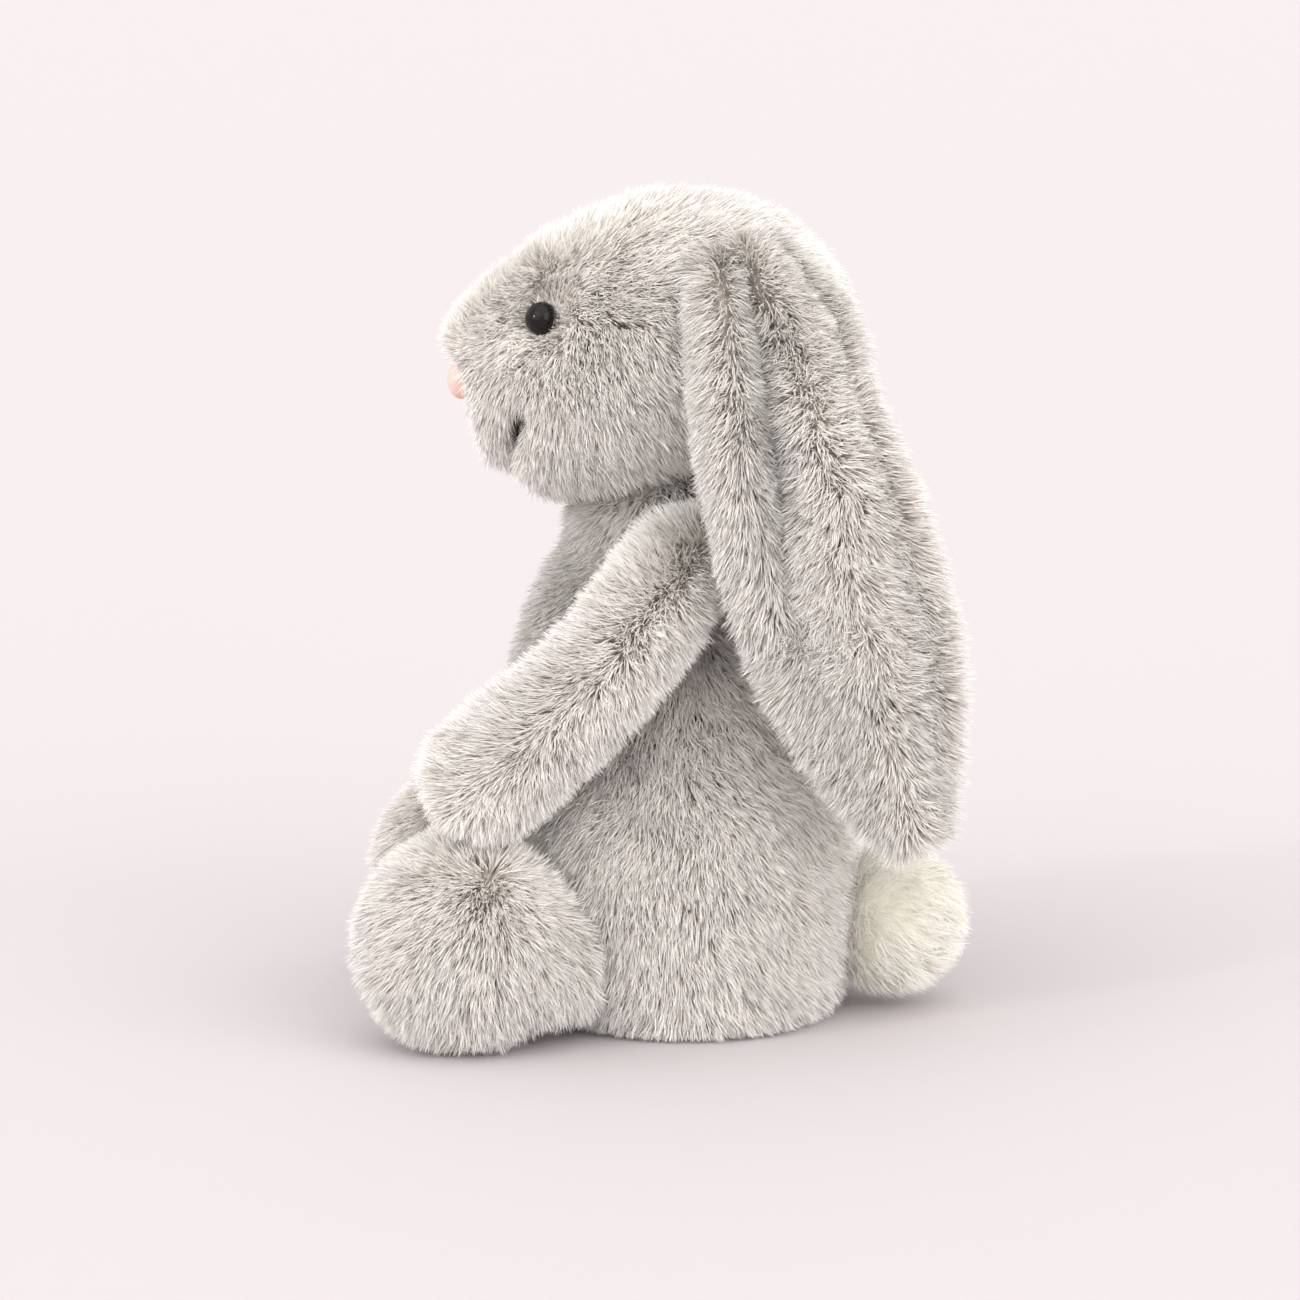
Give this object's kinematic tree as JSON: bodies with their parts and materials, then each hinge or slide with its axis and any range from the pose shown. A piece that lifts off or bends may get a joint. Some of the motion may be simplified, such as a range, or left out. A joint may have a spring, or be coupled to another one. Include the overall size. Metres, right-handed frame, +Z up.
{
  "type": "stuffed bunny rabbit",
  "caption": "Seated plush bunny with long hanging ears, domed eyes, a small nose, a pompom tail and sewn limbs that swing.",
  "frame": {"origin": "middle of the flat seat, on the surface the toy sits on", "axes": "+Z up, the face looks along -Y, +X is the bunny's left side"},
  "size_m": [0.126, 0.1415, 0.196],
  "materials": {
    "silver_plush": "long soft silver-grey pile, matt",
    "cream_plush": "dense cream pompom pile, matt",
    "fibre_filling": "loose white polyester fibre",
    "bag_cloth": "thin plain woven cloth",
    "seat_pellets": "small plastic pellets",
    "eye_plastic": "glossy black dome",
    "washer_plastic": "plain moulded plastic",
    "nose_velour": "short pink velour",
    "dark_thread": "dark brown embroidery thread",
    "neck_thread": "heavy grey sewing thread"
  },
  "bodies": {
    "body": {"body_cover": "silver_plush", "body_filling": "fibre_filling", "pellet_bag": "bag_cloth", "pellets": "seat_pellets"},
    "neck": {"neck_seam": "neck_thread"},
    "head": {"head_cover": "silver_plush", "head_filling": "fibre_filling", "left_eye": "eye_plastic", "right_eye": "eye_plastic", "left_eye_washer": "washer_plastic", "right_eye_washer": "washer_plastic", "nose": "nose_velour", "mouth_thread": "dark_thread", "lip_thread": "dark_thread"},
    "left_arm": {"left_arm_cover": "silver_plush", "left_arm_filling": "fibre_filling"},
    "right_arm": {"right_arm_cover": "silver_plush", "right_arm_filling": "fibre_filling"},
    "left_leg": {"left_leg_cover": "silver_plush", "left_leg_filling": "fibre_filling"},
    "right_leg": {"right_leg_cover": "silver_plush", "right_leg_filling": "fibre_filling"},
    "left_ear": {"left_ear_inner_panel": "silver_plush", "left_ear_outer_panel": "silver_plush"},
    "right_ear": {"right_ear_inner_panel": "silver_plush", "right_ear_outer_panel": "silver_plush"},
    "tail": {"tail_cover": "cream_plush", "tail_filling": "fibre_filling"}
  },
  "joints": [
    {"name": "head_turn", "type": "hinge", "parent": "body", "child": "neck", "pos_m": [0, -0.005, 0.112], "axis": [0, 0, 1], "range_deg": [-10, 10], "stiffness_Nm_per_rad": 0.06},
    {"name": "head_nod", "type": "hinge", "parent": "neck", "child": "head", "pos_m": [0, -0.005, 0.112], "axis": [1, 0, 0], "range_deg": [-10, 8], "stiffness_Nm_per_rad": 0.6},
    {"name": "left_arm_swing", "type": "hinge", "parent": "body", "child": "left_arm", "pos_m": [0.0226, -0.003, 0.117], "axis": [-1, 0, 0], "range_deg": [-12, 40], "stiffness_Nm_per_rad": 0.02},
    {"name": "right_arm_swing", "type": "hinge", "parent": "body", "child": "right_arm", "pos_m": [-0.0226, -0.003, 0.117], "axis": [-1, 0, 0], "range_deg": [0, 52], "stiffness_Nm_per_rad": 0.02},
    {"name": "left_leg_swing", "type": "hinge", "parent": "body", "child": "left_leg", "pos_m": [0.043, -0.03, 0.002], "axis": [1, 0, 0], "range_deg": [0, 80]},
    {"name": "right_leg_swing", "type": "hinge", "parent": "body", "child": "right_leg", "pos_m": [-0.043, -0.03, 0.002], "axis": [1, 0, 0], "range_deg": [0, 80]},
    {"name": "left_ear_lift", "type": "hinge", "parent": "head", "child": "left_ear", "pos_m": [0.0207, 0.004, 0.1915], "axis": [0, -1, 0], "range_deg": [0, 85]},
    {"name": "right_ear_lift", "type": "hinge", "parent": "head", "child": "right_ear", "pos_m": [-0.0207, 0.004, 0.1915], "axis": [0, 1, 0], "range_deg": [0, 85]},
    {"name": "tail_wag", "type": "hinge", "parent": "body", "child": "tail", "pos_m": [0, 0.0344, 0.0215], "axis": [0, 0, 1], "range_deg": [-15, 15], "stiffness_Nm_per_rad": 0.004}
  ]
}
